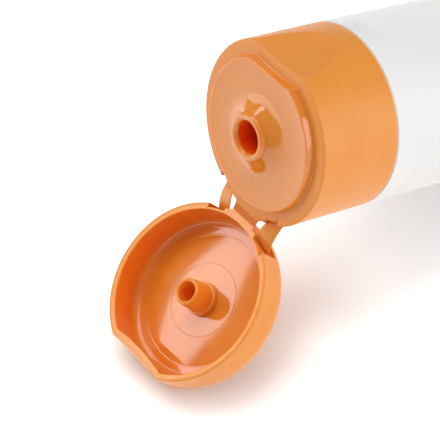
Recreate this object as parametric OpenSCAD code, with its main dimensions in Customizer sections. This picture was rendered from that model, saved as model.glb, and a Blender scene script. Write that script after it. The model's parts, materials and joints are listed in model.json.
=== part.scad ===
// Squeeze tube with a flip-top cap, lying on its side and propped on its open lid.
// Each piece is drawn in the cap's frame: +Z runs along the tube and out of the nozzle, with z = 0 at the ledge
// that the lid closes on, +X is the thumb side, and the hinge is at -X. lay_down() then sets the tube on the floor.
// The lid and its pin are drawn as they are moulded, with their rim at z = 0, and open_lid() puts them in place.

/* [Tube sleeve] */
// Outer diameter of the tube and of the cap
tube_d = 35; // [30:0.5:40]
// Length of the sleeve, from the cap to the sealed end
sleeve_l = 95; // [80:1:120]
// Thickness of the sleeve's wall
sleeve_wall = 0.5; // [0.35:0.05:0.7]
// Length of sleeve below the cap that stays round
round_l = 4; // [2:0.5:12]
// Length of the flat weld that seals the end
weld_l = 6; // [4:0.5:9]
// Gap between the lotion and the wall
fill_gap = 0.1; // [0.05:0.05:0.4]

/* [Tube head] */
// Outer diameter of the neck
neck_d = 15; // [13:0.5:18]
// Height of the neck above the shoulder
neck_h = 9; // [7.5:0.5:10]
// Thickness of the neck's wall
neck_wall = 1.4; // [1:0.1:2]
// Diameter of the hole in the neck's top plate
mouth_d = 9; // [8.4:0.1:9.6]
// Rise of the shoulder from its rim to the neck
shoulder_rise = 2.4; // [1.5:0.1:3]
// Thickness of the shoulder and of the neck's top plate
shoulder_t = 1.1; // [0.8:0.1:1.5]
// Length of the plug that is welded into the sleeve
head_plug_h = 1.5; // [1:0.1:2.5]
// Radius of the bead that snaps the cap onto the neck
snap_r = 0.4; // [0.3:0.05:0.6]

/* [Cap base] */
// Height of the skirt below the ledge
skirt_h = 17.2; // [15.5:0.1:20]
// Thickness of the skirt's wall
skirt_wall = 1.3; // [1.2:0.1:1.6]
// Rounding of the skirt's front edge
skirt_round = 0.4; // [0.2:0.1:0.8]
// Width of the ledge that the lid closes on
ledge_w = 3.1; // [2.8:0.1:3.6]
// Thickness of the ledge and of the deck
plate_t = 1.4; // [1.2:0.1:1.6]
// Height of the raised deck
deck_h = 1.5; // [1.2:0.1:2]
// Rounding of the deck's edge
deck_round = 0.25; // [0.1:0.05:0.4]
// Depth of the shallow dish in the deck
dish_d = 0.35; // [0.1:0.05:0.6]
// Diameter of the nozzle's hole
bore_d = 6.2; // [6.1:0.05:6.8]
// Height of the nozzle above the ledge
nozzle_h = 3.9; // [3.2:0.05:4.1]
// Radius of the nozzle's rounded lip
lip_r = 0.65; // [0.4:0.05:0.8]
// Radius at which the nozzle's cone runs out into the dish
cone_r = 9.5; // [8:0.1:11]
// Length of the sealing tube below the ledge
seal_l = 7; // [6:0.5:7.5]
// Wall of the collar round the neck
collar_wall = 1.2; // [0.8:0.1:1.5]
// Number of ribs between the collar and the skirt
rib_n = 8; // [4:1:12]
// Thickness of a rib
rib_t = 0.8; // [0.6:0.1:1.2]

/* [Thumb scoop] */
// Width of the scoop at the ledge
scoop_w = 14.5; // [12:0.1:16]
// Length of the scoop down the skirt
scoop_l = 12.2; // [10:0.1:13.5]
// Depth of the scoop's hollow behind its own chord
scoop_hollow = 0.53; // [0.4:0.01:0.7]
// Height over which the scoop fades out on the lid
notch_l = 6.5; // [5:0.1:7]
// Width of the ledge inside the scoop
notch_ledge = 2.55; // [2.2:0.05:2.8]

/* [Lid] */
// Height of the lid
lid_h = 8.4; // [7.8:0.1:9.5]
// Thickness of the lid's rim
lid_wall = 1.3; // [1.2:0.1:1.6]
// Rounding between the lid's side and its top
lid_round = 3.5; // [2:0.1:3.6]
// Depth of the inside of the lid
lid_depth = 6.2; // [5.8:0.1:6.4]
// Rounding between the inside wall and the inside floor
inside_round = 1.5; // [0.8:0.1:2]
// Draft of the inside wall over its height
inside_draft = 0.3; // [0.1:0.1:0.5]
// Radius of the fine step on the inside floor
step_r = 13.2; // [12:0.1:13.6]
// Height of the fine step
step_h = 0.12; // [0.05:0.01:0.2]

/* [Sealing pin] */
// Diameter of the pin at its tip
pin_d = 5.2; // [5:0.1:5.3]
// Diameter of the pin where it meets its foot
pin_root_d = 5.7; // [5.5:0.1:5.8]
// How far the pin's tip stays behind the lid's rim
pin_short = 0.15; // [0:0.05:0.5]
// Diameter of the hole in the pin
pin_hole_d = 3.9; // [3:0.1:4]
// Thickness of the pin's foot below that hole
pin_floor = 1; // [0.5:0.1:2]
// Diameter of the ring at the pin's foot
pin_foot_d = 6.6; // [6.2:0.1:7]
// Height of that ring
pin_foot_h = 1.2; // [0.8:0.1:1.5]
// Rounding of the pin's tip
pin_round = 0.35; // [0.2:0.05:0.45]

/* [Butterfly hinge] */
// Angle at which the open lid comes to rest
lid_open = 142.6; // [138:0.1:146]
// Gap between the closed lid and the ledge
parting = 0.14; // [0.1:0.01:0.3]
// Distance of the hinge axis behind the skirt
axis_out = 0.75; // [0.7:0.01:0.9]
// Width of the film strip and of the pads that it joins
strip_w = 6.7; // [5:0.1:7]
// Thickness of the film strip
strip_t = 0.3; // [0.2:0.05:0.4]
// How far the two pads stand out behind the skirt
pad_out = 0.25; // [0.2:0.01:0.35]
// Height of each pad
pad_h = 3; // [2:0.1:3.5]
// Place of the inner side of the base's wing pockets, from the middle
pocket_in = 5.4; // [5.2:0.05:5.6]
// Place of the inner side of the lid's wing pockets, from the middle
pocket_lid_in = 4.55; // [4.4:0.05:4.8]
// Place of the outer side of the base's wing pockets, from the middle
pocket_out = 8.75; // [8.6:0.05:9.2]
// Place of the outer side of the lid's wing pockets, from the middle
pocket_lid_out = 8.4; // [8.3:0.05:8.8]
// Depth of the wing pockets into the wall
pocket_d = 0.8; // [0.7:0.05:0.9]
// Height of the wing pockets in the base
pocket_base_h = 3.7; // [3.6:0.1:4.5]
// Height of the wing pockets in the lid
pocket_lid_h = 4.6; // [4.5:0.1:5]
// Thickness of a wing
wing_t = 0.45; // [0.3:0.05:0.5]
// Height of a wing's middle plane over the floor of its pocket
wing_lift = 0.66; // [0.62:0.01:0.75]
// Turn of a wing's plane round the cap
wing_slope = 24; // [16:0.5:28]
// Gap between a wing and the sides of its pocket
wing_gap = 0.35; // [0.3:0.05:0.5]
// Share of the lid's turn that a wing makes
wing_ratio = 0.463; // [0.45:0.001:0.48]

/* [Hidden] */
$fn = 96;
ball_fn = 180;
eps = 0.01;
tube_r = tube_d / 2;

// Joint between the cap's skirt and the sleeve
joint_gap = 0.25;
sleeve_top = -(skirt_h + joint_gap);
sleeve_end = sleeve_top - sleeve_l;
round_z = sleeve_top - round_l;
weld_z = sleeve_end + weld_l;
weld_t = 2 * sleeve_wall;
// A flattened tube keeps its girth, so half of it is the width of the weld
weld_w = PI * tube_r;

// Fits between the head, the sleeve and the cap
rim_fit = 0.1;
neck_fit = 0.15;
seal_fit = 0.2;
seat_fit = 0.1;
neck_r = neck_d / 2;
neck_bore_r = neck_r - neck_wall;
inner_r = tube_r - skirt_wall;
head_rim_r = inner_r - rim_fit;
head_rim_h = 1;
rim_z = sleeve_top + joint_gap;
shoulder_z = rim_z + head_rim_h;
neck_z = shoulder_z + shoulder_rise;
neck_top = neck_z + neck_h;
snap_z = neck_z + neck_h / 3;

// Cap base
deck_r = tube_r - ledge_w;
bore_r = bore_d / 2;
under_z = deck_h - plate_t;
collar_ri = neck_r + neck_fit;
collar_ro = collar_ri + collar_wall;
collar_z = neck_z + seat_fit;
seal_ro = mouth_d / 2 - seal_fit;

// The scoop is a ball's mark. Its section at the ledge goes through the scoop's two corners.
scoop_chord = tube_r - sqrt(tube_r * tube_r - scoop_w * scoop_w / 4);
scoop_d = scoop_chord + scoop_hollow;
section_r = (scoop_w * scoop_w / 4 + scoop_hollow * scoop_hollow) / (2 * scoop_hollow);
scoop_x = tube_r - scoop_d + section_r;
// The hollow under the deck stays inside the ledge's narrowest place, in the scoop
under_r = tube_r - scoop_d - notch_ledge - plate_t;
function ball_z(l) = (2 * section_r * scoop_d - scoop_d * scoop_d - l * l) / (2 * l);
function ball_r(l) = sqrt(section_r * section_r + ball_z(l) * ball_z(l));

// Hinge
axis_x = -(tube_r + axis_out);
axis_z = parting / 2;
pad_x = -(tube_r + pad_out);
film_reach = axis_out - pad_out;
film_gap = 0.08;

// A wing, as it lies in its pockets when the lid is shut. It tapers from its foot in the base to its tip.
wing_in = pocket_in + wing_gap;
wing_out = pocket_out - wing_gap;
wing_mid = (wing_in + wing_out) / 2;
wing_x = -sqrt(pow(tube_r - pocket_d, 2) - wing_mid * wing_mid) - wing_lift;
wing_pivot_z = 0.8 - pocket_base_h;
wing_foot = [[wing_in, wing_pivot_z + 0.7], [wing_out, wing_pivot_z - 0.2]];
wing_tip = [[pocket_lid_out - wing_gap, pocket_lid_h - 0.4], [pocket_lid_in + wing_gap + 0.3, pocket_lid_h - 2.2]];

// Lying on the floor: the tail's lower edge and the round edge of the open lid both touch it
function turned(p, a) = [p[0] * cos(a) - p[1] * sin(a), p[0] * sin(a) + p[1] * cos(a)];
function opened(x, z) = [axis_x, axis_z] + turned([x - axis_x, z + parting - axis_z], lid_open);
edge_mid = opened(tube_r - lid_round, lid_h - lid_round);
lean_x = edge_mid[0] + weld_t / 2;
lean_z = edge_mid[1] - sleeve_end;
lean = asin(lid_round / norm([lean_x, lean_z])) - atan2(lean_x, lean_z);
floor_z = weld_t / 2 * cos(lean) - sleeve_end * sin(lean);
notch_corner = opened(tube_r - scoop_chord, 0);
front_x = sin(lean) * notch_corner[0] - cos(lean) * notch_corner[1];
back_x = sin(lean) * weld_t / 2 - cos(lean) * sleeve_end;

module lay_down()
    translate([-(front_x + back_x) / 2, 0, floor_z])
        rotate([0, lean - 90, 0])
            children();

module open_lid()
    translate([axis_x, 0, axis_z])
        rotate([0, -lid_open, 0])
            translate([-axis_x, 0, parting - axis_z])
                children();

// Ball that marks the scoop, running out at height l above (up = -1) or below (up = 1) the rim, grown by g
module scoop_ball(l, up, g = 0)
    translate([scoop_x, 0, up * ball_z(l)])
        sphere(r = ball_r(l) + g, $fn = ball_fn);

// Points of an arc about [x, y]
function arc(x, y, r, from, to, n = 8) =
    [for (i = [0 : n]) [x + r * cos(from + (to - from) * i / n), y + r * sin(from + (to - from) * i / n)]];

// The sleeve's form, taken in by an inset all round: a round end that a hull draws out to the flat weld
module sleeve_form(inset, top) {
    flat_t = max(weld_t / 2 - inset, eps);
    translate([0, 0, round_z])
        cylinder(r = tube_r - inset, h = top - round_z);
    hull() {
        translate([0, 0, round_z])
            cylinder(r = tube_r - inset, h = eps);
        translate([-flat_t, inset - weld_w / 2, weld_z])
            cube([2 * flat_t, weld_w - 2 * inset, eps]);
    }
}

module tube_sleeve()
    color("#f1eeeb")
        difference() {
            union() {
                sleeve_form(0, sleeve_top);
                translate([-weld_t / 2, -weld_w / 2, sleeve_end])
                    cube([weld_t, weld_w, weld_l + eps]);
            }
            sleeve_form(sleeve_wall, sleeve_top + 1);
        }

// Tube head: a plug in the sleeve, a rim that carries the skirt, a cone, and a neck with a snap bead and a top plate
module tube_head() {
    plug_r = tube_r - sleeve_wall - rim_fit;
    flange_r = tube_r - skirt_round / 2;
    color("#f7f6f2")
        rotate_extrude()
            polygon(concat(
                [[mouth_d / 2, neck_top], [mouth_d / 2, neck_top - shoulder_t],
                 [neck_bore_r, neck_top - shoulder_t], [neck_bore_r, neck_z - shoulder_t],
                 [plug_r - shoulder_t, rim_z - shoulder_t], [plug_r - shoulder_t, sleeve_top - head_plug_h],
                 [plug_r, sleeve_top - head_plug_h], [plug_r, sleeve_top], [flange_r, sleeve_top],
                 [flange_r, rim_z], [head_rim_r, rim_z], [head_rim_r, shoulder_z], [neck_r, neck_z]],
                arc(neck_r, snap_z, snap_r, -90, 90),
                [[neck_r, neck_top]]));
}

module lotion_fill()
    color("#fbf7ee")
        difference() {
            sleeve_form(sleeve_wall + fill_gap, sleeve_top - head_plug_h - fill_gap);
            translate([0, 0, weld_z - eps])
                cube([tube_d, 2 * tube_d, 2 * (eps + fill_gap)], center = true);
        }

// Height of the deck's surface at radius r: a dish, and the nozzle's cone rising out of it
dish_edge = deck_r - deck_round;
dish_z = deck_h - dish_d;
cone_top_r = bore_r + lip_r * (1 + cos(45));
cone_top_z = nozzle_h - lip_r * (1 - sin(45));
cone_power = 2.8;
deck_steps = 14;
function deck_z(r) = r > cone_r
    ? dish_z + dish_d * pow((r - cone_r) / (dish_edge - cone_r), 2)
    : dish_z + (cone_top_z - dish_z) * pow((cone_r - r) / (cone_r - cone_top_r), cone_power);
function deck_step_r(i) = dish_edge + (cone_top_r - dish_edge) * i / deck_steps;

module base_outside()
    rotate_extrude()
        polygon(concat(
            [[0, -skirt_h], [tube_r, -skirt_h]],
            arc(tube_r - skirt_round, -skirt_round, skirt_round, 0, 90, 4),
            [[deck_r, 0]],
            arc(dish_edge, deck_h - deck_round, deck_round, 0, 90, 4),
            [for (i = [1 : deck_steps - 1]) [deck_step_r(i), deck_z(deck_step_r(i))]],
            arc(bore_r + lip_r, nozzle_h - lip_r, lip_r, 45, 180),
            [[0, nozzle_h - lip_r]]));

module base_inside()
    rotate_extrude()
        polygon([[0, -skirt_h - 1], [inner_r, -skirt_h - 1], [inner_r, -plate_t],
                 [under_r, -plate_t], [under_r, under_z], [0, under_z]]);

// The collar that grips the neck, with the groove that its bead snaps into
module base_collar()
    difference() {
        translate([0, 0, collar_z])
            cylinder(r = collar_ro, h = under_z - collar_z + eps);
        translate([0, 0, collar_z - 1])
            cylinder(r = collar_ri, h = under_z - collar_z + 1);
        rotate_extrude()
            translate([neck_r, snap_z])
                circle(r = snap_r + neck_fit);
    }

module base_ribs() {
    rib_z = collar_z + 1;
    for (i = [0 : rib_n - 1])
        rotate([0, 0, 360 / rib_n * (i + 0.5)])
            translate([collar_ro - collar_wall / 2, -rib_t / 2, rib_z])
                cube([inner_r - collar_ro + collar_wall / 2 + eps, rib_t, -plate_t - rib_z + eps]);
}

// The pad that the film strip joins, on the back wall, from the rim at z = 0 to its foot at height h
module hinge_pad(h)
    translate([0, strip_w / 2, 0])
        rotate([90, 0, 0])
            linear_extrude(strip_w)
                polygon([[pad_x, 0], [pad_x, h * 0.75], [1 - tube_r, h], [2 - tube_r, h], [2 - tube_r, 0]]);

// The two pockets that the wings lie in, from height z0 to z1, and from y = in to y = out
module wing_pockets(z0, z1, in, out)
    difference() {
        for (side = [-1, 1])
            translate([-tube_r - 1, side > 0 ? in : -out, z0])
                cube([tube_r / 2, out - in, z1 - z0]);
        translate([0, 0, z0 - 1])
            cylinder(r = tube_r - pocket_d, h = z1 - z0 + 2);
    }

module cap_base()
    color("#f3a55f")
        difference() {
            union() {
                difference() {
                    union() {
                        base_outside();
                        hinge_pad(-pad_h);
                    }
                    difference() {
                        base_inside();
                        scoop_ball(scoop_l, 1, skirt_wall);
                    }
                }
                translate([0, 0, -seal_l])
                    cylinder(r = seal_ro, h = seal_l + under_z + eps);
                base_collar();
                base_ribs();
            }
            translate([0, 0, -seal_l - 1])
                cylinder(r = bore_r, h = seal_l + nozzle_h + 2);
            scoop_ball(scoop_l, 1);
            translate([scoop_x, 0, 0])
                cylinder(r = section_r + notch_ledge, h = deck_h + 1, $fn = ball_fn);
            wing_pockets(-pocket_base_h, 1, pocket_in, pocket_out);
        }

// Film strip: a thin plate from the base's pad, through the hinge axis, to a small gap from the open lid's pad
module hinge_strip() {
    tip = [for (z = [0, strip_t]) turned([film_reach - film_gap, parting / 2 + z], lid_open)];
    color("#e2852f")
        translate([axis_x, strip_w / 2, axis_z])
            rotate([90, 0, 0])
                linear_extrude(strip_w)
                    polygon([[film_reach, -parting / 2 - strip_t], [film_reach, -parting / 2], tip[0], tip[1]]);
}

// A wing: a flat four-sided plate that swings about its foot as the lid opens
module hinge_wing(side)
    translate([wing_x, side * wing_mid, wing_pivot_z])
        rotate([0, -lid_open * wing_ratio, 0])
            rotate([0, 0, -side * wing_slope])
                rotate([90, 0, 90])
                    linear_extrude(wing_t, center = true)
                        polygon([for (p = concat(wing_foot, wing_tip))
                                 [side * (p[0] - wing_mid), p[1] - wing_pivot_z]]);

module hinge_wing_left()
    color("#f0a766")
        hinge_wing(1);

module hinge_wing_right()
    color("#f0a766")
        hinge_wing(-1);

module lid_outside()
    rotate_extrude()
        polygon(concat(
            [[0, 0], [tube_r, 0]],
            arc(tube_r - lid_round, lid_h - lid_round, lid_round, 0, 90, 10),
            [[0, lid_h]]));

module lid_inside() {
    inside_r = tube_r - lid_wall;
    rotate_extrude()
        polygon(concat(
            [[0, -1], [inside_r, -1], [inside_r, 0]],
            arc(inside_r - inside_draft - inside_round, lid_depth - step_h - inside_round, inside_round, 0, 90, 6),
            [[step_r, lid_depth - step_h], [step_r, lid_depth], [0, lid_depth]]));
}

module lid()
    color("#f3a55f")
        open_lid()
            difference() {
                union() {
                    lid_outside();
                    hinge_pad(pad_h);
                }
                difference() {
                    lid_inside();
                    scoop_ball(notch_l, -1, lid_wall);
                }
                scoop_ball(notch_l, -1);
                wing_pockets(-1, pocket_lid_h, pocket_lid_in, pocket_lid_out);
            }

module sealing_pin() {
    foot_z = lid_depth - pin_foot_h;
    hole_r = pin_hole_d / 2;
    bevel = 0.25;
    color("#e8842c")
        open_lid()
            rotate_extrude()
                polygon(concat(
                    [[0, lid_depth - pin_floor], [hole_r, lid_depth - pin_floor]],
                    arc(hole_r + pin_round, pin_short + pin_round, pin_round, 180, 270, 4),
                    arc(pin_d / 2 - pin_round, pin_short + pin_round, pin_round, -90, 0, 4),
                    [[pin_root_d / 2, foot_z], [pin_foot_d / 2 - bevel, foot_z],
                     [pin_foot_d / 2, foot_z + bevel], [pin_foot_d / 2, lid_depth], [0, lid_depth]]));
}

lay_down() tube_sleeve();
lay_down() tube_head();
lay_down() lotion_fill();
lay_down() cap_base();
lay_down() hinge_strip();
lay_down() hinge_wing_left();
lay_down() hinge_wing_right();
lay_down() lid();
lay_down() sealing_pin();
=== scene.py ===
# A 50 ml sunscreen tube on its side, propped on the open lid of its orange flip-top cap.
import bpy
import bmesh
import json
import math
from mathutils import Matrix, Vector


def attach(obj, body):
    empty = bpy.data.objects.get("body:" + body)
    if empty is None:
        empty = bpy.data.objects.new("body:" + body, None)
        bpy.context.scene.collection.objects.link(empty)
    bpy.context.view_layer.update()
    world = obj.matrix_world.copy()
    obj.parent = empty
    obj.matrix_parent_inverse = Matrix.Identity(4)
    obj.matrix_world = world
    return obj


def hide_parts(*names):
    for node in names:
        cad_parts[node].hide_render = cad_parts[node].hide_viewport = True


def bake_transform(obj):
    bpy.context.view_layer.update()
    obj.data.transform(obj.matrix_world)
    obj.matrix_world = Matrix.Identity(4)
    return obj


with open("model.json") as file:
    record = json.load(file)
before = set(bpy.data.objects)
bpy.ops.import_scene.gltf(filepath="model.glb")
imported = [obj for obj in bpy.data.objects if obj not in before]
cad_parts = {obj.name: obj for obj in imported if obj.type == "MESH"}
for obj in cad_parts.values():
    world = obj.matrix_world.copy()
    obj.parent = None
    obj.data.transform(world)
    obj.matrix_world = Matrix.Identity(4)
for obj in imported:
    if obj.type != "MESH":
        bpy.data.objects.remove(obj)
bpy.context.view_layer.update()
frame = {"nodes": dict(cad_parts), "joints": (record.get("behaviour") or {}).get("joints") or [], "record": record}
print("frame loaded")

# Sizes of the tube and its cap in millimetres, as the model gives them
tube = {
    "radius": 17.5, "sleeveLength": 95, "sleeveWall": 0.5, "roundLength": 4, "weldLength": 6,
    "skirtHeight": 17.2, "jointGap": 0.25,
}
mmToMetres = 0.001
mergeDistance = 0.000001  # metres; closer points become one
sharpDegrees = 32  # edges that turn more than this stay crisp

mounts = {m["name"]: m for m in frame["record"]["mounts"]}
joints = {j["name"]: j for j in frame["joints"]}
lidOpen = -math.radians(joints["lid_hinge"]["range_deg"][0])
outward = Vector(mounts["orifice"]["axis"])  # along the tube, out of the nozzle
sideways = Vector((0, 1, 0))
thumbSide = sideways.cross(outward)
boreTop = 3.25  # height of the bore's straight wall over the ledge
boreMiddle = boreTop - mounts["orifice"]["dims"]["length_mm"] / 2
ledgeCentre = Vector(mounts["orifice"]["pos_m"]) - outward * boreMiddle * mmToMetres

capPlace = Matrix.Identity(4)  # cap's millimetres to the frame's metres
for column, axis in enumerate((thumbSide, sideways, outward)):
    for row in range(3):
        capPlace[row][column] = axis[row] * mmToMetres
for row in range(3):
    capPlace[row][3] = ledgeCentre[row]

hinge = capPlace.inverted() @ Vector(joints["lid_hinge"]["pos_m"])  # in the cap's millimetres
parting = 2 * hinge.z
swing = Matrix.Translation(hinge) @ Matrix.Rotation(-lidOpen, 4, "Y") @ Matrix.Translation(-hinge)
lidPlace = capPlace @ swing @ Matrix.Translation((0, 0, parting))


# Shared helpers

def toLinear(hexColour):
    channels = [int(hexColour[i:i + 2], 16) / 255 for i in (1, 3, 5)]
    return [c / 12.92 if c <= 0.04045 else ((c + 0.055) / 1.055) ** 2.4 for c in channels] + [1.0]


def addNode(tree, kind, settings=None, inputs=None):
    node = tree.nodes.new(kind)
    for name, value in (settings or {}).items():
        setattr(node, name, value)
    for name, value in (inputs or {}).items():
        if isinstance(value, bpy.types.NodeSocket):
            tree.links.new(value, node.inputs[name])
        else:
            node.inputs[name].default_value = value
    return node


def newMaterial(name):
    material = bpy.data.materials.new(name)
    material.use_nodes = True
    material.node_tree.nodes.clear()
    return material, material.node_tree


def meshObject(name, points, faces, place, material):
    mesh = bpy.data.meshes.new(name)
    mesh.from_pydata([place @ Vector(p) for p in points], [], faces)
    mesh.validate()
    obj = bpy.data.objects.new(name, mesh)
    bpy.context.scene.collection.objects.link(obj)
    mesh.materials.append(material)
    return obj


def tidyMesh(obj):
    shape = bmesh.new()
    shape.from_mesh(obj.data)
    bmesh.ops.remove_doubles(shape, verts=shape.verts, dist=mergeDistance)
    bmesh.ops.recalc_face_normals(shape, faces=shape.faces)
    shape.to_mesh(obj.data)
    shape.free()
    obj.data.shade_smooth()
    obj.data.set_sharp_from_angle(angle=math.radians(sharpDegrees))


def softMin(a, b, width):
    # The lesser of two numbers, rounded over where they are nearly the same
    h = max(width - abs(a - b), 0) / width
    return min(a, b) - h * h * width / 4


def arcPoints(x, z, r, start, end, steps):
    turns = [math.radians(start + (end - start) * i / steps) for i in range(steps + 1)]
    return [(x + r * math.cos(turn), z + r * math.sin(turn)) for turn in turns]


# Materials
finish = {
    "capColour": "#f09736", "capShade": "#ee9132", "deckColour": "#f29330", "deckShade": "#f08d2b",
    # the film's darker orange is painted shade from the hinge gap
    # the pin's lighter orange is painted glow in its thin walls and painted sheen on the lid's rim
    "filmPaintedShadeColour": "#e4781e", "filmPaintedShadeMottle": "#de7018", "pinPaintedLightColour": "#ffa033", "pinPaintedLightMottle": "#ff9a2e",
    # the bore's deep red is painted shade inside the nozzle's hole
    # the inner wall's deeper orange is painted shade and painted reflection of the lid's hollow
    "wallPaintedShadeColour": "#fb8424", "wallPaintedShadeMottle": "#f97e20", "borePaintedShadeColour": "#ff5f14", "borePaintedShadeMottle": "#fb5510",
    "sleeveColour": "#f6f4f2", "headColour": "#f4f2ec", "lotionColour": "#fbf6ea",
    "grainSize": 0.3,  # mm, the spark-eroded texture of the mould, drawn as coarse as it needs to show
    "grainDepth": 0.05, "cloudSize": 6, "glowDepth": 2.5,  # mm; the last is how far light goes in
    "skinSize": 0.5, "skinDepth": 0.02, "mottleSize": 9, "whiteDepth": 1.0,  # mm, for the white plastics
}


def capMaterial(name, colour, shade, roughness, grain, gloss=0.6, depth=0.12):
    # Injection-moulded polypropylene: even colour, a satin sheen, and a little light passes into thin walls
    material, tree = newMaterial(name)
    place = addNode(tree, "ShaderNodeTexCoord").outputs["Object"]
    cloud = addNode(tree, "ShaderNodeTexNoise", inputs={
        "Vector": place, "Scale": 1 / (finish["cloudSize"] * mmToMetres), "Detail": 2.0, "Roughness": 0.5})
    ramp = addNode(tree, "ShaderNodeValToRGB", inputs={"Fac": cloud.outputs["Fac"]})
    ramp.color_ramp.elements[0].color = toLinear(shade)
    ramp.color_ramp.elements[0].position = 0.2
    ramp.color_ramp.elements[1].color = toLinear(colour)
    ramp.color_ramp.elements[1].position = 0.6
    fine = addNode(tree, "ShaderNodeTexNoise", inputs={
        "Vector": place, "Scale": 1 / (finish["grainSize"] * mmToMetres), "Detail": 3.0, "Roughness": 0.6})
    bump = addNode(tree, "ShaderNodeBump", inputs={
        "Strength": grain, "Distance": finish["grainDepth"] * mmToMetres, "Height": fine.outputs["Fac"]})
    rough = addNode(tree, "ShaderNodeMapRange", inputs={
        "Value": fine.outputs["Fac"], "From Min": 0.3, "From Max": 0.7,
        "To Min": roughness - 0.04, "To Max": roughness + 0.04})
    shader = addNode(tree, "ShaderNodeBsdfPrincipled", inputs={
        "Base Color": ramp.outputs["Color"], "Roughness": rough.outputs["Result"],
        "Normal": bump.outputs["Normal"], "IOR": 1.5, "Specular IOR Level": gloss,
        "Subsurface Weight": depth, "Subsurface Radius": (1.0, 0.3, 0.08),
        "Subsurface Scale": finish["glowDepth"] * mmToMetres})
    out = addNode(tree, "ShaderNodeOutputMaterial")
    tree.links.new(shader.outputs["BSDF"], out.inputs["Surface"])
    return material


def plasticMaterial(name, colour, roughness, blotch):
    # Blown or moulded polyethylene: waxy white, soft sheen, very faint mottling
    material, tree = newMaterial(name)
    place = addNode(tree, "ShaderNodeTexCoord").outputs["Object"]
    cloud = addNode(tree, "ShaderNodeTexNoise", inputs={
        "Vector": place, "Scale": 1 / (finish["mottleSize"] * mmToMetres), "Detail": 3.0, "Roughness": 0.5})
    ramp = addNode(tree, "ShaderNodeValToRGB", inputs={"Fac": cloud.outputs["Fac"]})
    base = toLinear(colour)
    ramp.color_ramp.elements[0].color = [c * (1 - blotch) for c in base[:3]] + [1]
    ramp.color_ramp.elements[1].color = base
    fine = addNode(tree, "ShaderNodeTexNoise", inputs={
        "Vector": place, "Scale": 1 / (finish["skinSize"] * mmToMetres), "Detail": 2.0})
    bump = addNode(tree, "ShaderNodeBump", inputs={
        "Strength": 0.12, "Distance": finish["skinDepth"] * mmToMetres, "Height": fine.outputs["Fac"]})
    shader = addNode(tree, "ShaderNodeBsdfPrincipled", inputs={
        "Base Color": ramp.outputs["Color"], "Roughness": roughness, "Normal": bump.outputs["Normal"],
        "IOR": 1.51, "Subsurface Weight": 0.1, "Subsurface Radius": (1.0, 0.9, 0.8),
        "Subsurface Scale": finish["whiteDepth"] * mmToMetres})
    out = addNode(tree, "ShaderNodeOutputMaterial")
    tree.links.new(shader.outputs["BSDF"], out.inputs["Surface"])
    return material


texturedPolypropylene = capMaterial(  # spark-eroded mould: satin, with a fine grain
    "texturedPolypropylene", finish["capColour"], finish["capShade"], roughness=0.45, grain=1.0)
polishedPolypropylene = capMaterial(  # polished mould: clear reflections
    "polishedPolypropylene", finish["deckColour"], finish["deckShade"],
    roughness=0.09, grain=0.012, gloss=0.62, depth=0.25)
filmPaintedShadePolypropylene = capMaterial(  # thin and dull; its darker orange is painted shade from the gap between base and lid
    "filmPaintedShadePolypropylene", finish["filmPaintedShadeColour"], finish["filmPaintedShadeMottle"], roughness=0.5, grain=0.1, gloss=0.3)
pinPaintedLightPolypropylene = capMaterial(  # the sealing pin and the lid's rim: light passes into their thin walls, and their lighter orange adds a painted glow and sheen
    "pinPaintedLightPolypropylene", finish["pinPaintedLightColour"], finish["pinPaintedLightMottle"], roughness=0.22, grain=0.03, depth=0.4)
borePaintedShadePolypropylene = capMaterial(  # the hole in the nozzle, painted a deep red for the shade where light bounces between orange walls
    "borePaintedShadePolypropylene", finish["borePaintedShadeColour"], finish["borePaintedShadeMottle"],
    roughness=0.3, grain=0.03, gloss=0.5, depth=0.7)
wallPaintedShadePolypropylene = capMaterial(  # the lid's inner wall, its deeper orange a painted shade and painted warm reflection of the lid's hollow
    "wallPaintedShadePolypropylene", finish["wallPaintedShadeColour"], finish["wallPaintedShadeMottle"],
    roughness=0.12, grain=0.012, gloss=0.62, depth=0.3)
webPolypropylene = capMaterial(  # half polished
    "webPolypropylene", finish["capColour"], finish["capShade"], roughness=0.35, grain=0.15)
sleevePolyethylene = plasticMaterial(
    "sleevePolyethylene", finish["sleeveColour"], roughness=0.42, blotch=0.02)
headPolyethylene = plasticMaterial("headPolyethylene", finish["headColour"], roughness=0.4, blotch=0.02)
lotionCream = plasticMaterial("lotionCream", finish["lotionColour"], roughness=0.3, blotch=0.03)
print("materials made")

nodeMaterials = {
    "cap_base": texturedPolypropylene, "lid": texturedPolypropylene,
    "sealing_pin": polishedPolypropylene, "hinge_strip": filmPaintedShadePolypropylene,
    "hinge_wing_left": texturedPolypropylene, "hinge_wing_right": texturedPolypropylene,
    "tube_sleeve": sleevePolyethylene, "tube_head": headPolyethylene, "lotion_fill": lotionCream,
}
for node, material in nodeMaterials.items():
    part = frame["nodes"][node]
    part.data.materials.clear()
    part.data.materials.append(material)

# The cap's surfaces: a profile for each column round the axis, since the scoop, the pads and the pockets
# change it
scoop = {"width": 14.5, "length": 12.2, "hollow": 0.53, "lidLength": 6.5, "ledge": 2.55, "soften": 0.15}
hingeForm = {
    "padWidth": 6.7, "padOut": 0.25, "padHeight": 3.0, "padSlope": 2.25, "padRoot": 16.5,
    "pocketDepth": 0.8,
}
columnLayout = {
    "frontDegrees": 28, "frontSteps": 80,  # to each side of the thumb, where the scoop needs the closest ones
    "sideSteps": 78,
    "hingeHalf": 10, "hingeStep": 0.5,  # mm, the hinge side, whose columns run parallel to the middle
    "turnFrom": 14.5, "turnLength": 1.5,  # mm from the axis where those begin to turn, and how long they take
    "wallPairs": (-0.1, -0.015, 0.015, 0.1), "wallClear": 0.12,  # mm, more of them beside each upright edge
}
radius = tube["radius"]
scoopDepth = radius - math.sqrt(radius ** 2 - scoop["width"] ** 2 / 4) + scoop["hollow"]
sectionRadius = (scoop["width"] ** 2 / 4 + scoop["hollow"] ** 2) / (2 * scoop["hollow"])
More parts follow.
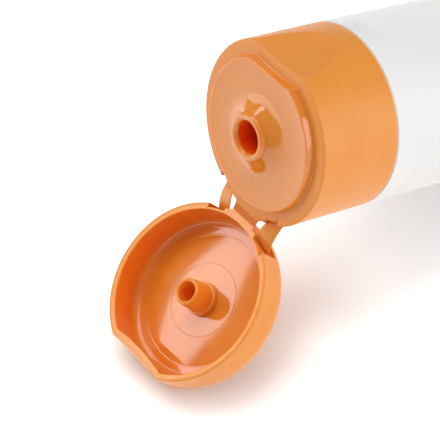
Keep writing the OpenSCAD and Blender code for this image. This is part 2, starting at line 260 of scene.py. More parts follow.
scoopX = radius - scoopDepth + sectionRadius


def scoopRadius(theta, h, length, extra=0.0):
    # From the axis to the ball that marks the scoop, at distance h from the rim
    up = (2 * sectionRadius * scoopDepth - scoopDepth ** 2 - length ** 2) / (2 * length)
    ball = math.hypot(sectionRadius, up) + extra
    c = scoopX * math.cos(theta)
    inside = c * c - scoopX ** 2 - (h + up) ** 2 + ball ** 2
    return c - math.sqrt(inside) if inside > 0 and c > 0 else 99.0


def capColumns(part):
    # Each column is its angle from the thumb side and, on the hinge side, its distance from the middle
    c = columnLayout
    front = math.radians(c["frontDegrees"])
    back = math.pi - math.asin(c["hingeHalf"] / radius)
    walls = [hingeForm["padWidth"] / 2, part["pocketIn"], part["pocketOut"]]
    sides = {round(i * c["hingeStep"], 2) for i in range(round(c["hingeHalf"] / c["hingeStep"]) + 1)}
    sides = {s for s in sides if all(abs(s - w) > c["wallClear"] for w in walls)}
    sides |= {w + d for w in walls for d in c["wallPairs"]}
    sides = sorted(sides)
    half = [(front * i / c["frontSteps"], None) for i in range(c["frontSteps"] + 1)]
    half += [(front + (back - front) * i / c["sideSteps"], None) for i in range(1, c["sideSteps"])]
    half += [(math.pi - math.asin(s / radius), s) for s in reversed(sides) if s > 0]
    other = [(-t, None if s is None else -s) for t, s in reversed(half[1:])]
    return half + [(math.pi, 0.0)] + other


def columnPoint(column, r):
    c = columnLayout
    theta, side = column
    x, y = r * math.cos(theta), r * math.sin(theta)
    if side is None or r < c["turnFrom"]:
        return x, y
    t = min((r - c["turnFrom"]) / c["turnLength"], 1) * min(max(c["hingeHalf"] - abs(side), 0), 1)
    return x + (-math.sqrt(r * r - side * side) - x) * t, y + (side - y) * t


def padReach(h):
    # The pad that carries the film stands out at the rim and slopes back into the wall
    f = hingeForm
    slope = (radius + f["padOut"] - f["padRoot"]) / (f["padHeight"] - f["padSlope"])
    return radius + f["padOut"] - max(h - f["padSlope"], 0) * slope


def wallPoint(column, h, inward, part, base=radius):
    # A point of the outside wall at distance h from the rim
    theta, side = column
    if side is None:
        r = softMin(base - inward, scoopRadius(theta, h, part["scoopLength"]) - inward, scoop["soften"])
        return r * math.cos(theta), r * math.sin(theta)
    pocket = part["pocketIn"] < abs(side) < part["pocketOut"] and h < part["pocketHeight"]
    r = base - inward - (hingeForm["pocketDepth"] if pocket else 0)
    x = math.sqrt(r * r - side * side)
    if abs(side) < hingeForm["padWidth"] / 2:
        x = max(x, padReach(h) - inward)
    return -x, side


def innerRadius(column, h, r, part):
    # The inside wall, which follows the scoop a wall's thickness behind it
    if column[1] is not None:
        return r
    return softMin(r, scoopRadius(column[0], h, part["scoopLength"], part["wall"]), scoop["soften"])


def spaced(start, end, step):
    n = max(round(abs(end - start) / step), 1)
    return [start + (end - start) * i / n for i in range(n + 1)]


def columnMesh(name, columns, rowsOf, place, materials, closed=False, poles=()):
    # Joins the columns' rows with quads. Rows come as (x, y, z, number of the material in the list).
    points, faces, marks = [], [], []
    grid = [rowsOf(c) for c in columns]
    rows = len(grid[0])
    for column in grid:
        points += [p[:3] for p in column]
    for c in range(len(grid)):
        n = (c + 1) % len(grid)
        for r in range(rows if closed else rows - 1):
            s = (r + 1) % rows
            faces.append((c * rows + r, n * rows + r, n * rows + s, c * rows + s))
            marks.append(grid[c][s][3])
        for end, pole in zip((0, rows - 1), poles):
            faces.append((c * rows + end, n * rows + end, len(points) + poles.index(pole)))
            marks.append(grid[c][end][3])
    points += poles
    obj = meshObject(name, points, faces, place, materials[0])
    for extra in materials[1:]:
        obj.data.materials.append(extra)
    obj.data.polygons.foreach_set("material_index", marks)
    tidyMesh(obj)
    return obj


capBase = {
    "scoopLength": scoop["length"], "pocketIn": 5.4, "pocketOut": 8.75, "pocketHeight": 3.7, "wall": 1.3,
    "height": tube["skirtHeight"], "edgeRound": 0.4, "footRound": 0.2, "plate": 1.4, "underZ": 0.1,
    "underRadius": 11.45, "deckRadius": 14.4, "deckHeight": 1.5, "deckRound": 0.25, "cornerRound": 0.15,
    "ledgeFrom": 0.2, "wallDraft": 0.28, "edgeSoften": 0.2, "dish": 0.35,
    "bore": 3.1, "sealDepth": 7.0, "sealOut": 4.3, "nozzle": 3.9, "lip": 0.8, "beadEnd": -12,
    "coneRadius": 10.0, "conePower": 2.9,
    "collarIn": 7.65, "collarOut": 8.85, "collarDepth": 13.7,
    "grooveAt": -10.8, "grooveCentre": 7.5, "grooveRadius": 0.55,
    "fineRow": 0.16, "coarseRow": 0.8, "deckRows": 24, "deckCrowding": 1.35,
}


def beadFoot():
    # Where the nozzle's rolled lip meets the cone
    b = capBase
    turn = math.radians(b["beadEnd"])
    return b["bore"] + b["lip"] * (1 + math.cos(turn)), b["nozzle"] - b["lip"] * (1 - math.sin(turn))


def deckHeight(r):
    # The deck dips a little from its edge to the foot of the cone, which flares up to the nozzle
    b = capBase
    edge = b["deckRadius"] - b["deckRound"]
    low = b["deckHeight"] - b["dish"]
    coneTop, coneZ = beadFoot()
    if r > b["coneRadius"]:
        return low + b["dish"] * ((r - b["coneRadius"]) / (edge - b["coneRadius"])) ** 2
    return low + (coneZ - low) * ((b["coneRadius"] - r) / (b["coneRadius"] - coneTop)) ** b["conePower"]


def deckEdge(column):
    # The deck is round, but draws back from the scoop
    c = scoopX * math.cos(column[0])
    inside = c * c - scoopX ** 2 + (sectionRadius + scoop["ledge"]) ** 2
    if column[1] is not None or c < 0 or inside <= 0:
        return capBase["deckRadius"]
    return softMin(capBase["deckRadius"], c - math.sqrt(inside), capBase["edgeSoften"])


def baseRows(column):
    # From the foot of the bore over nozzle and deck, down the skirt and back up inside.
    # Marks: 0 textured, 1 polished, 2 bore in painted shade.
    b = capBase
    rows = []

    def put(r, z, mark=1):
        rows.append((*columnPoint(column, r), z, mark))

    for z in spaced(-b["sealDepth"], b["nozzle"] - b["lip"], 1.7):
        put(b["bore"], z, 2)
    for r, z in arcPoints(b["bore"] + b["lip"], b["nozzle"] - b["lip"], b["lip"], 180, b["beadEnd"], 14)[1:]:
        put(r, z)
    coneTop = beadFoot()[0]
    edge = deckEdge(column)
    top = edge - b["deckRound"]
    for i in range(1, b["deckRows"] + 1):
        r = coneTop + (top - coneTop) * (i / b["deckRows"]) ** b["deckCrowding"]
        put(r, deckHeight(r))
    for r, z in arcPoints(top, deckHeight(top) - b["deckRound"], b["deckRound"], 90, 0, 5)[1:]:
        put(r, z)
    foot = edge + b["wallDraft"]
    for r, z in arcPoints(foot + b["cornerRound"], b["cornerRound"], b["cornerRound"], 180, 270, 3):
        put(r, z)
    start = columnPoint(column, foot + b["ledgeFrom"])
    end = wallPoint(column, 0, b["edgeRound"], b)
    for i in range(4):
        rows.append((start[0] + (end[0] - start[0]) * i / 4, start[1] + (end[1] - start[1]) * i / 4, 0, 0))
    for i in range(6):
        turn = math.radians(90 * i / 5)
        h = b["edgeRound"] * (1 - math.cos(turn))
        rows.append((*wallPoint(column, h, b["edgeRound"] * (1 - math.sin(turn)), b), -h, 0))
    pocket, scoopEnd = b["pocketHeight"], b["scoopLength"]
    heights = spaced(b["edgeRound"] + 0.1, pocket - 0.2, b["fineRow"])
    heights += [pocket - 0.02, pocket + 0.02]  # two rows close together keep the pocket's end crisp
    heights += spaced(pocket + 0.15, scoopEnd + 0.65, b["fineRow"])
    heights += spaced(scoopEnd + 1.3, b["height"] - b["footRound"], b["coarseRow"])
    for h in heights:
        rows.append((*wallPoint(column, h, 0, b), -h, 0))
    for i in range(1, 4):
        turn = math.radians(30 * i)
        inward = b["footRound"] * (1 - math.cos(turn))
        h = b["height"] - b["footRound"] * (1 - math.sin(turn))
        rows.append((*wallPoint(column, h, inward, b), -h, 0))
    inside = radius - b["wall"]
    for h in spaced(b["height"], b["plate"], 1.2):
        put(innerRadius(column, h, inside, b), -h)
    put(b["underRadius"], -b["plate"])
    put(b["underRadius"], b["underZ"])
    put(b["collarOut"], b["underZ"])
    put(b["collarOut"], -b["collarDepth"])
    put(b["collarIn"], -b["collarDepth"])
    spread = math.degrees(math.acos((b["collarIn"] - b["grooveCentre"]) / b["grooveRadius"]))
    for r, z in arcPoints(b["grooveCentre"], b["grooveAt"], b["grooveRadius"], -spread, spread, 8):
        put(r, z)
    put(b["collarIn"], b["underZ"])
    put(b["sealOut"], b["underZ"])
    put(b["sealOut"], -b["sealDepth"])
    return rows


capBaseShell = columnMesh("capBaseShell", capColumns(capBase), baseRows, capPlace,
                          [texturedPolypropylene, polishedPolypropylene, borePaintedShadePolypropylene], closed=True)
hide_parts("cap_base")
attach(capBaseShell, "tube")
print("cap base built")

capLid = {
    "scoopLength": scoop["lidLength"], "pocketIn": 4.55, "pocketOut": 8.4, "pocketHeight": 4.6, "wall": 1.3,
    "height": 8.4, "topRound": 3.5, "rimRound": 0.16, "rimInside": 0.6, "depth": 6.2, "floorRound": 1.5,
    "draft": 0.3, "stepRadius": 13.2, "step": 0.12, "markRadius": 7.35, "markDepth": 0.05,
    "crownFrom": 5.0, "crown": 0.4, "fineRow": 0.16, "floorRow": 0.25, "floorRows": 23,
}


def lidFloor(r):
    # The floor is flat under the pin and falls away to its edge
    d = capLid
    return d["depth"] + d["crown"] * (max(r - d["crownFrom"], 0) / (d["stepRadius"] - d["crownFrom"])) ** 2


def lidRows(column):
    # From the top down the outside, round the rim and in over the floor. Heights count up from the shut lid's
    # rim. Marks: 0 textured, 1 polished, 2 inner wall in painted shade, 3 rim with painted sheen.
    d = capLid
    rows = []

    def put(r, z, mark=1):
        rows.append((*columnPoint(column, r), z, mark))

    flat = radius - d["topRound"]
    for r in (3, 6, 9, 11.5, 13):
        put(r, d["height"], 0)
    for r, z in arcPoints(flat, d["height"] - d["topRound"], d["topRound"], 90, 0, 22):
        rows.append((*wallPoint(column, z, 0, d, r), z, 0))
    low, pocket = d["height"] - d["topRound"], d["pocketHeight"]
    heights = spaced(low - 0.1, pocket + 0.04, 0.1)
    heights += [pocket + 0.015, pocket - 0.015]  # two rows close together keep the pocket's end crisp
    heights += spaced(pocket - 0.15, d["rimRound"] + 0.1, d["fineRow"])
    for z in heights:
        rows.append((*wallPoint(column, z, 0, d), z, 0))
    for i in range(4):
        turn = math.radians(30 * i)
        z = d["rimRound"] * (1 - math.sin(turn))
        rows.append((*wallPoint(column, z, d["rimRound"] * (1 - math.cos(turn)), d), z, 0))
    inside = radius - d["wall"]
    ledge = d["rimRound"] * d["rimInside"]
    rimEnd = innerRadius(column, 0, inside, d)
    for i in range(4):
        turn = math.radians(30 * i)
        put(rimEnd + ledge * (1 - math.sin(turn)), ledge * (1 - math.cos(turn)), 3)
    straight = lidFloor(d["stepRadius"]) - d["step"] - d["floorRound"]
    for z in spaced(ledge + 0.1, straight, 0.2):
        put(innerRadius(column, z, inside - d["draft"] * z / straight, d), z, 2)
    middle = inside - d["draft"] - d["floorRound"]
    for r, z in arcPoints(middle, straight, d["floorRound"], 0, 90, 12)[1:]:
        put(innerRadius(column, z, r, d), z)
    for r, z in ((0.05, -d["step"]), (0, -0.02), (-0.05, 0)):
        put(d["stepRadius"] + r, lidFloor(d["stepRadius"]) + z)
    for i in range(1, d["floorRows"] + 1):
        r = d["stepRadius"] - 0.05 - d["floorRow"] * i
        put(r, lidFloor(r))
    for r, z in ((0.08, 0.02), (0.03, 1), (-0.03, 1), (-0.08, 0.02)):
        put(d["markRadius"] + r, lidFloor(d["markRadius"] + r) + z * d["markDepth"])
    for r in (7.1, 6.8, 6.5, 6.2, 5.9, 5.6, 5.3, 5, 4, 3, 1.5):
        put(r, lidFloor(r))
    return rows


lidShell = columnMesh("lidShell", capColumns(capLid), lidRows, lidPlace,
                      [texturedPolypropylene, polishedPolypropylene, wallPaintedShadePolypropylene, pinPaintedLightPolypropylene],
                      poles=((0, 0, capLid["height"]), (0, 0, capLid["depth"])))
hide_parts("lid")
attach(lidShell, "lid")
print("lid built")

sealPin = {
    "tipRadius": 2.6, "rootRadius": 2.85, "belly": 0.06, "tipAt": 0.15, "tipRound": 0.35, "hole": 1.95,
    "holeFloor": 5.2, "holeRound": 0.3, "footRadius": 3.3, "footHeight": 1.2, "footRound": 0.12,
    "bevel": 0.25, "sunk": 0.05, "poleRing": 1.0, "shankRows": 12, "columns": 96,
}


def pinRows(column):
    # From the hole's floor out over the tip, along the slightly bellied shank and round its foot
    p = sealPin
    foot = capLid["depth"] - p["footHeight"]
    rows = [(p["poleRing"], p["holeFloor"])]
    rows += arcPoints(p["hole"] - p["holeRound"], p["holeFloor"] - p["holeRound"], p["holeRound"], 90, 0, 4)
    rows += arcPoints(p["hole"] + p["tipRound"], p["tipAt"] + p["tipRound"], p["tipRound"], 180, 270, 6)
    rows += arcPoints(p["tipRadius"] - p["tipRound"], p["tipAt"] + p["tipRound"], p["tipRound"], 270, 360, 6)
    start = p["tipAt"] + p["tipRound"]
    for i in range(1, p["shankRows"] + 1):
        t = i / p["shankRows"]
        r = p["tipRadius"] + (p["rootRadius"] - p["tipRadius"]) * t + p["belly"] * math.sin(math.pi * t)
        rows.append((r, start + (foot - p["footRound"] - start) * t))
    rows += arcPoints(p["rootRadius"] + p["footRound"], foot - p["footRound"], p["footRound"], 180, 90, 3)[1:]
    rows += arcPoints(p["footRadius"] - p["bevel"], foot + p["bevel"], p["bevel"], 270, 360, 5)
    rows.append((p["footRadius"], capLid["depth"] + p["sunk"]))
    rows.append((p["poleRing"], capLid["depth"] + p["sunk"]))
    return [(*columnPoint(column, r), z, 0) for r, z in rows]


pinColumns = [(2 * math.pi * i / sealPin["columns"], None) for i in range(sealPin["columns"])]
sealingPin = columnMesh("sealingPin", pinColumns, pinRows, lidPlace, [pinPaintedLightPolypropylene],
                        poles=((0, 0, sealPin["holeFloor"]), (0, 0, capLid["depth"] + sealPin["sunk"])))
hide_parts("sealing_pin")
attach(sealingPin, "lid")
print("pin built")


def stripMesh(name, sections, place, material):
    # A band through closed cross-sections that all have the same number of points
    points, faces = [], []
    n = len(sections[0])
    for section in sections:
        points += section
    for s in range(len(sections) - 1):
        for k in range(n):
            m = (k + 1) % n
            faces.append((s * n + k, s * n + m, (s + 1) * n + m, (s + 1) * n + k))
    faces.append(tuple(range(n)))
    faces.append(tuple(range((len(sections) - 1) * n, len(sections) * n)))
    obj = meshObject(name, points, faces, place, material)
    tidyMesh(obj)
    return obj


def openPoint(x, z):
    # From the lid as moulded to the cap's frame, lid open
    return swing @ Vector((x, 0, z + parting))


# The film runs straight across where the lid turns, thinnest at its waist
filmForm = {
    "thickness": 0.3, "waist": 0.22, "waistLength": 0.3, "edgeRound": 0.05, "edgeIn": 0.02, "steps": 24,
    "bite": 0.3,  # mm that the film runs on inside each pad
}
reach = -hinge.x - radius - hingeForm["padOut"]
filmMiddle = -parting / 2 - filmForm["thickness"] / 2
filmStart = Vector((hinge.x + reach, 0, hinge.z + filmMiddle))
filmEnd = openPoint(hinge.x + reach, hinge.z - filmMiddle - parting)
filmHalf = hingeForm["padWidth"] / 2


def filmSections():
    f = filmForm
    rim = f["edgeRound"]
    along = (filmEnd - filmStart).normalized()
    across = Vector((-along.z, 0, along.x))
    length = (filmEnd - filmStart).length
    sections = []
    for i in range(f["steps"] + 1):
        t = -f["bite"] + (length + 2 * f["bite"]) * i / f["steps"]
        waist = math.exp(-((t - length / 2) / f["waistLength"]) ** 2)
        half = (f["thickness"] + (f["waist"] - f["thickness"]) * waist) / 2
        middle = filmStart + along * t
        ring = []
        for way in (1, -1):
            for bulge, lift in ((0, 1), (rim, 0.5), (rim, -0.5), (0, -1)):
                spot = middle + across * half * lift * way
                ring.append((spot.x, (filmHalf - f["edgeIn"] + bulge) * way, spot.z))
        sections.append(ring)
    return sections


hingeFilm = stripMesh("hingeFilm", filmSections(), capPlace, filmPaintedShadePolypropylene)
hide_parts("hinge_strip")
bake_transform(hingeFilm)
print("hinge film built")

# Each wing is a stiff web, a little twisted, that runs from its pocket in the base to its pocket in the lid
wingForm = {
    "thickness": 0.42, "edge": 0.12, "rimShare": 0.3, "rimSlim": 0.6, "steps": 14, "slopeStep": 0.05,
    "stops": (0.0, 0.16, 0.88, 1.0),  # how far along the web each pair of corners stands
    "inner": ((-15.9, 5.55, -1.9), (-16.85, 5.45, -0.6), (-20.1, 4.75, -0.05), (-21.0, 4.75, -0.15)),
    "outer": ((-14.6, 8.45, -3.2), (-15.8, 8.45, -2.6), (-22.3, 8.0, -0.95), (-22.95, 7.95, -0.75)),
    "innerBow": (0, -0.45, 0.3), "outerBow": (-0.1, 0.1, 1.3),
    "bendFrom": (-16.2, 6.7, -2.6), "bendTo": (-22.4, 6.7, -0.9),
}


def alongEdge(edge, t):
    # Runs through the four corners of one edge, bowed between them
    corners, stops = wingForm[edge], wingForm["stops"]
    t = min(max(t, 0), 1)
    i = next(i for i in range(3) if t <= stops[i + 1])
    f = (t - stops[i]) / (stops[i + 1] - stops[i])
    straight = Vector(corners[i]).lerp(Vector(corners[i + 1]), f)
    return straight + Vector(wingForm[edge + "Bow"]) * math.sin(math.pi * t)


def wingSections(side):
    f = wingForm
    rim, step = f["edge"] * f["rimShare"], f["slopeStep"]
    spots = [rim, f["edge"]] + [j / 8 for j in range(2, 7)] + [1 - f["edge"], 1 - rim]
    sections = []
    for i in range(f["steps"] + 1):
        t = i / f["steps"]
        a, b = alongEdge("inner", t), alongEdge("outer", t)
        before = alongEdge("inner", t - step) + alongEdge("outer", t - step)
        after = alongEdge("inner", t + step) + alongEdge("outer", t + step)
        normal = (after - before).cross(b - a).normalized() * f["thickness"] / 2
        ring = []
        for s, lift in [(0, 0)] + [(s, 1) for s in spots] + [(1, 0)] + [(s, -1) for s in reversed(spots)]:
            slim = f["rimSlim"] if s in (rim, 1 - rim) else 1.0
            spot = a.lerp(b, s) + normal * lift * slim
            ring.append((spot.x, spot.y * side, spot.z))
        sections.append(ring)
    return sections


wingSides = {"left": 1, "right": -1}
for name, side in wingSides.items():
    web = stripMesh("hingeWeb" + name.capitalize(), wingSections(side), capPlace, webPolypropylene)
    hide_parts("hinge_wing_" + name)
    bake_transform(web)
print("hinge webs built")

# Pieces whose shape follows a rule are built with Geometry Nodes and then baked

def nodePiece(name, build, sizes, place, material):
    tree = bpy.data.node_groups.new(name, "GeometryNodeTree")
    for key, value in sizes.items():
        kind = "NodeSocketInt" if isinstance(value, int) else "NodeSocketFloat"
        tree.interface.new_socket(key, in_out="INPUT", socket_type=kind)
    tree.interface.new_socket("Geometry", in_out="OUTPUT", socket_type="NodeSocketGeometry")
    given = addNode(tree, "NodeGroupInput")

    def calc(kind, a, b=0.0, c=0.0, limit=False):
        node = addNode(tree, "ShaderNodeMath", {"operation": kind, "use_clamp": limit}, {0: a, 1: b, 2: c})
        return node.outputs[0]

    shape = build(tree, given.outputs, calc)
    solid = addNode(tree, "GeometryNodeRealizeInstances", inputs={"Geometry": shape})
    painted = addNode(tree, "GeometryNodeSetMaterial", inputs={
        "Geometry": solid.outputs[0], "Material": material})
    result = addNode(tree, "NodeGroupOutput")
    tree.links.new(painted.outputs[0], result.inputs[0])
    obj = bpy.data.objects.new(name, bpy.data.meshes.new(name + "Seed"))
    bpy.context.scene.collection.objects.link(obj)
    modifier = obj.modifiers.new("build", "NODES")
    modifier.node_group = tree
    for item in tree.interface.items_tree:
        if item.in_out == "INPUT":
            modifier[item.identifier] = sizes[item.name]
    ready = obj.evaluated_get(bpy.context.evaluated_depsgraph_get())
    baked = bpy.data.meshes.new_from_object(ready)
    obj.modifiers.clear()
    obj.data = baked
    obj.data.transform(place)
    tidyMesh(obj)
    return obj


sleeveTop = -(tube["skirtHeight"] + tube["jointGap"])
sleeveTail = sleeveTop - tube["sleeveLength"]
foldedSleeve = {
    "columns": 193, "rows": 242, "radius": radius, "wall": tube["sleeveWall"], "top": sleeveTop,
    "roundEnd": sleeveTop - tube["roundLength"], "weldStart": sleeveTail + tube["weldLength"],
    "tail": sleeveTail, "weldHalf": 0.42, "halfWidth": 27.48, "turn": 0.15,
}


def buildSleeve(tree, size, calc):
    # A round tube that flattens evenly to a straight weld. Rows run up the outside and back down the inside.
    grid = addNode(tree, "GeometryNodeMeshGrid", inputs={
        "Size X": 1.0, "Size Y": 1.0, "Vertices X": size["columns"], "Vertices Y": size["rows"]})
    spot = addNode(tree, "ShaderNodeSeparateXYZ", inputs={
        0: addNode(tree, "GeometryNodeInputPosition").outputs[0]})
    angle = calc("MULTIPLY", calc("ADD", spot.outputs[0], 0.5), 2 * math.pi)
    last = calc("SUBTRACT", size["rows"], 1)
    row = calc("MULTIPLY", calc("ADD", spot.outputs[1], 0.5), last)
    inside = calc("GREATER_THAN", row, calc("MULTIPLY", last, 0.5))
    fromEnd = calc("MINIMUM", row, calc("SUBTRACT", last, row))
    steps = calc("SUBTRACT", calc("MULTIPLY", size["rows"], 0.5), 2)
    rise = calc("DIVIDE", calc("SUBTRACT", fromEnd, 1), steps, limit=True)
    weld = calc("SUBTRACT", size["weldStart"], size["tail"])
    foot = calc("ADD", size["tail"], calc("MULTIPLY", inside, weld))
    height = calc("MULTIPLY_ADD", rise, calc("SUBTRACT", size["top"], foot), foot)
    flat = calc("DIVIDE", calc("SUBTRACT", size["roundEnd"], height),
                calc("SUBTRACT", size["roundEnd"], size["weldStart"]), limit=True)
    edge = calc("MULTIPLY", size["weldHalf"], calc("SUBTRACT", 1, inside))
    start = calc("SUBTRACT", size["radius"], calc("MULTIPLY", size["wall"], inside))
    bend = calc("MULTIPLY_ADD", flat, calc("SUBTRACT", edge, start), start)
    half = calc("MULTIPLY", flat, calc("SUBTRACT", size["halfWidth"], size["weldHalf"]))
    sine = calc("SINE", angle)
    way = calc("MAXIMUM", calc("MINIMUM", calc("DIVIDE", sine, size["turn"]), 1), -1)
    thick = calc("GREATER_THAN", fromEnd, 0.5)
    x = calc("MULTIPLY", calc("MULTIPLY", bend, calc("COSINE", angle)), thick)
    y = calc("MULTIPLY_ADD", way, half, calc("MULTIPLY", bend, sine))
    place = addNode(tree, "ShaderNodeCombineXYZ", inputs={0: x, 1: y, 2: height})
    moved = addNode(tree, "GeometryNodeSetPosition", inputs={
        "Geometry": grid.outputs["Mesh"], "Position": place.outputs[0]})
    return addNode(tree, "GeometryNodeMergeByDistance", inputs={
        "Geometry": moved.outputs[0], "Distance": 0.0005}).outputs[0]


sleeveShell = nodePiece("sleeveShell", buildSleeve, foldedSleeve, capPlace, sleevePolyethylene)
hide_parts("tube_sleeve")
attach(sleeveShell, "tube")
print("sleeve built")

weldBar = {
    "count": 52, "pitch": 1.0, "width": 0.45, "lift": 0.08, "length": 5.2,
    "face": foldedSleeve["weldHalf"], "middle": (foldedSleeve["weldStart"] + foldedSleeve["tail"]) / 2,
}


def buildWeldBars(tree, size, calc):
    # The sealing jaws leave short bars across the weld, on both its faces
    bar = addNode(tree, "GeometryNodeMeshCylinder", inputs={
        "Vertices": 12, "Radius": 0.5, "Depth": size["length"]})
    lift = calc("MULTIPLY", size["lift"], 2)
    scale = addNode(tree, "ShaderNodeCombineXYZ", inputs={0: lift, 1: size["width"], 2: 1.0})
    joined = addNode(tree, "GeometryNodeJoinGeometry")
    start = calc("MULTIPLY", calc("MULTIPLY", calc("SUBTRACT", size["count"], 1), size["pitch"]), -0.5)
    step = addNode(tree, "ShaderNodeCombineXYZ", inputs={1: size["pitch"]})
    for way in (1, -1):
        first = addNode(tree, "ShaderNodeCombineXYZ", inputs={
            0: calc("MULTIPLY", size["face"], way), 1: start, 2: size["middle"]})
        line = addNode(tree, "GeometryNodeMeshLine", inputs={
            "Count": size["count"], "Start Location": first.outputs[0], "Offset": step.outputs[0]})
        bars = addNode(tree, "GeometryNodeInstanceOnPoints", inputs={
            "Points": line.outputs[0], "Instance": bar.outputs["Mesh"], "Scale": scale.outputs[0]})
        tree.links.new(bars.outputs[0], joined.inputs[0])
    return joined.outputs[0]


weldBars = nodePiece("weldBars", buildWeldBars, weldBar, capPlace, sleevePolyethylene)
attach(weldBars, "tube")
print("weld bars built")

capRib = {"count": 8, "thickness": 0.8, "inner": 8.3, "outer": 16.3, "top": -1.3, "bottom": -12.7}


def buildCapRibs(tree, size, calc):
    # Ribs stand between the collar and the skirt, under the deck
    long = calc("SUBTRACT", size["outer"], size["inner"])
    tall = calc("SUBTRACT", size["top"], size["bottom"])
    block = addNode(tree, "ShaderNodeCombineXYZ", inputs={0: long, 1: size["thickness"], 2: tall})
    rib = addNode(tree, "GeometryNodeMeshCube", inputs={"Size": block.outputs[0]})
    middle = calc("MULTIPLY", calc("ADD", size["outer"], size["inner"]), 0.5)
    level = calc("MULTIPLY", calc("ADD", size["top"], size["bottom"]), 0.5)
    out = addNode(tree, "ShaderNodeCombineXYZ", inputs={0: middle, 2: level})
    line = addNode(tree, "GeometryNodeMeshLine", inputs={"Count": size["count"], "Offset": (0, 0, 0)})
    placed = addNode(tree, "GeometryNodeTransform", inputs={
        "Geometry": rib.outputs["Mesh"], "Translation": out.outputs[0]})
    part = calc("DIVIDE", 2 * math.pi, size["count"])
    index = addNode(tree, "GeometryNodeInputIndex").outputs[0]
    turn = addNode(tree, "ShaderNodeCombineXYZ", inputs={2: calc("MULTIPLY", calc("ADD", index, 0.5), part)})
    return addNode(tree, "GeometryNodeInstanceOnPoints", inputs={
        "Points": line.outputs[0], "Instance": placed.outputs[0], "Rotation": turn.outputs[0]}).outputs[0]


capRibs = nodePiece("capRibs", buildCapRibs, capRib, capPlace, polishedPolypropylene)
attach(capRibs, "tube")
print("cap ribs built")

# Floor, light and camera
studio = {
    "floorSize": 6.0, "floorColour": "#f8f8f8", "floorShade": "#f3f3f3", "paperGrain": 300.0,
    "floorGlow": 0.78, "floorSheen": 0.9,
    "contact": 0.026, "contactCurve": 2.2, "contactSamples": 16,  # metres and curve of the painted contact shadow, where the floor's glow fades
    "worldStrength": 0.25, "worldSheen": 0.35,
    # lamps: place and size in metres, power in watts; along is the direction of the second size
    "strip": {"place": (-0.574, 0.587, 0.614), "size": (0.15, 0.55), "along": (-0.80, -0.14, -0.59),
              "power": 1.25},
    "side": {"place": (0.48, -0.91, 0.39), "size": (0.74, 0.7), "along": (0, 0, 1), "power": 5.9},
    "front": {"place": (-0.5, -1.05, 0.25), "size": (0.8, 0.5), "along": (0, 0, 1), "power": 1.3},
    "back": {"place": (-0.95, 0.8, 0.22), "size": (0.8, 0.45), "along": (0, 0, 1), "power": 2.8},
    "top": {"place": (0.0, 0.27, 0.95), "size": (0.7, 0.7), "along": (0, 1, 0), "power": 4.2},
    "aim": (-0.05, 0, 0.015),
}


def makeFloor():
    # Matt white paper. For the camera and in reflections it also glows, so that it stays white.
    material, tree = newMaterial("paperSweep")
    grain = addNode(tree, "ShaderNodeTexNoise", inputs={"Scale": studio["paperGrain"], "Detail": 2.0})
    ramp = addNode(tree, "ShaderNodeValToRGB", inputs={"Fac": grain.outputs["Fac"]})
    ramp.color_ramp.elements[0].color = toLinear(studio["floorShade"])
    ramp.color_ramp.elements[1].color = toLinear(studio["floorColour"])
    matte = addNode(tree, "ShaderNodeBsdfDiffuse", inputs={"Color": ramp.outputs["Color"]})
    path = addNode(tree, "ShaderNodeLightPath")
    # The glow fades close to the pieces: a painted contact shadow, on top of the shadows the lamps cast
    clear = addNode(tree, "ShaderNodeAmbientOcclusion", {"samples": studio["contactSamples"]}, {
        "Distance": studio["contact"]})
    soft = addNode(tree, "ShaderNodeMath", {"operation": "POWER"}, {
        0: clear.outputs["AO"], 1: studio["contactCurve"]})
    paintedShadowGlow = addNode(tree, "ShaderNodeMath", {"operation": "MULTIPLY"}, {
        0: soft.outputs[0], 1: studio["floorGlow"]})
    seen = addNode(tree, "ShaderNodeMath", {"operation": "MULTIPLY"}, {
        0: path.outputs["Is Camera Ray"], 1: paintedShadowGlow.outputs[0]})
    amount = addNode(tree, "ShaderNodeMath", {"operation": "MULTIPLY_ADD"}, {
        0: path.outputs["Is Glossy Ray"], 1: studio["floorSheen"], 2: seen.outputs[0]})
    glow = addNode(tree, "ShaderNodeEmission", inputs={"Color": (1, 1, 1, 1), "Strength": amount.outputs[0]})
    both = addNode(tree, "ShaderNodeAddShader", inputs={0: matte.outputs[0], 1: glow.outputs[0]})
    out = addNode(tree, "ShaderNodeOutputMaterial")
    tree.links.new(both.outputs[0], out.inputs["Surface"])
    half = studio["floorSize"] / 2
    floor = meshObject("floor", [(-half, -half, 0), (half, -half, 0), (half, half, 0), (-half, half, 0)],
                       [(0, 1, 2, 3)], Matrix.Identity(4), material)


def areaLight(name):
    box = studio[name]
    data = bpy.data.lights.new(name + "Softbox", "AREA")
    data.shape = "RECTANGLE"
    data.energy = box["power"]
    data.size, data.size_y = box["size"]
    lamp = bpy.data.objects.new(name + "Softbox", data)
    bpy.context.scene.collection.objects.link(lamp)
    back = (Vector(box["place"]) - Vector(studio["aim"])).normalized()
    across = Vector(box["along"]).cross(back).normalized()
    turn = Matrix((across, back.cross(across), back)).transposed().to_4x4()
    lamp.matrix_world = Matrix.Translation(box["place"]) @ turn


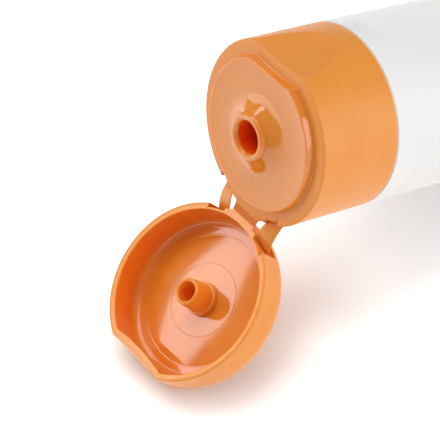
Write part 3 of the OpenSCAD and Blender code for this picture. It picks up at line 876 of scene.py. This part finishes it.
def makeWorld():
    world = bpy.data.worlds.new("studioWorld")
    bpy.context.scene.world = world
    world.use_nodes = True
    tree = world.node_tree
    tree.nodes.clear()
    path = addNode(tree, "ShaderNodeLightPath")
    seen = addNode(tree, "ShaderNodeMath", {"operation": "MAXIMUM"}, {
        0: path.outputs["Is Camera Ray"], 1: path.outputs["Is Transmission Ray"]})
    amount = addNode(tree, "ShaderNodeMapRange", inputs={
        "Value": path.outputs["Is Glossy Ray"],
        "To Min": studio["worldStrength"], "To Max": studio["worldSheen"]})
    soft = addNode(tree, "ShaderNodeBackground", inputs={
        "Color": (1, 1, 1, 1), "Strength": amount.outputs[0]})
    white = addNode(tree, "ShaderNodeBackground", inputs={"Color": (1, 1, 1, 1), "Strength": 1.0})
    mix = addNode(tree, "ShaderNodeMixShader", inputs={
        0: seen.outputs[0], 1: soft.outputs[0], 2: white.outputs[0]})
    out = addNode(tree, "ShaderNodeOutputWorld")
    tree.links.new(mix.outputs[0], out.inputs["Surface"])


cameraView = {
    "azimuth": -26.922, "elevation": 47.305, "roll": -11.870,  # degrees, as the photo was taken
    "distance": 362.53, "target": (-48.69, -4.12, 32.12),  # mm
    "lens": 163.64, "sensor": 36.0,  # mm
    "clipStart": 0.01,  # metres
}


def makeCamera():
    a, e, r = (math.radians(cameraView[k]) for k in ("azimuth", "elevation", "roll"))
    back = Vector((math.sin(a) * math.cos(e), -math.cos(a) * math.cos(e), math.sin(e)))
    level = Vector((0, 0, 1)).cross(back).normalized()
    right = level * math.cos(r) + back.cross(level) * math.sin(r)
    up = back.cross(right)
    data = bpy.data.cameras.new("photoCamera")
    data.lens = cameraView["lens"]
    data.sensor_width = cameraView["sensor"]
    data.clip_start = cameraView["clipStart"]
    camera = bpy.data.objects.new("photoCamera", data)
    bpy.context.scene.collection.objects.link(camera)
    place = (Vector(cameraView["target"]) + back * cameraView["distance"]) * mmToMetres
    camera.matrix_world = Matrix.Translation(place) @ Matrix((right, up, back)).transposed().to_4x4()
    bpy.context.scene.camera = camera


makeFloor()
for lampName in ("strip", "side", "front", "back", "top"):
    areaLight(lampName)
makeWorld()
makeCamera()
bpy.context.scene.view_settings.view_transform = "Standard"
print("studio made")
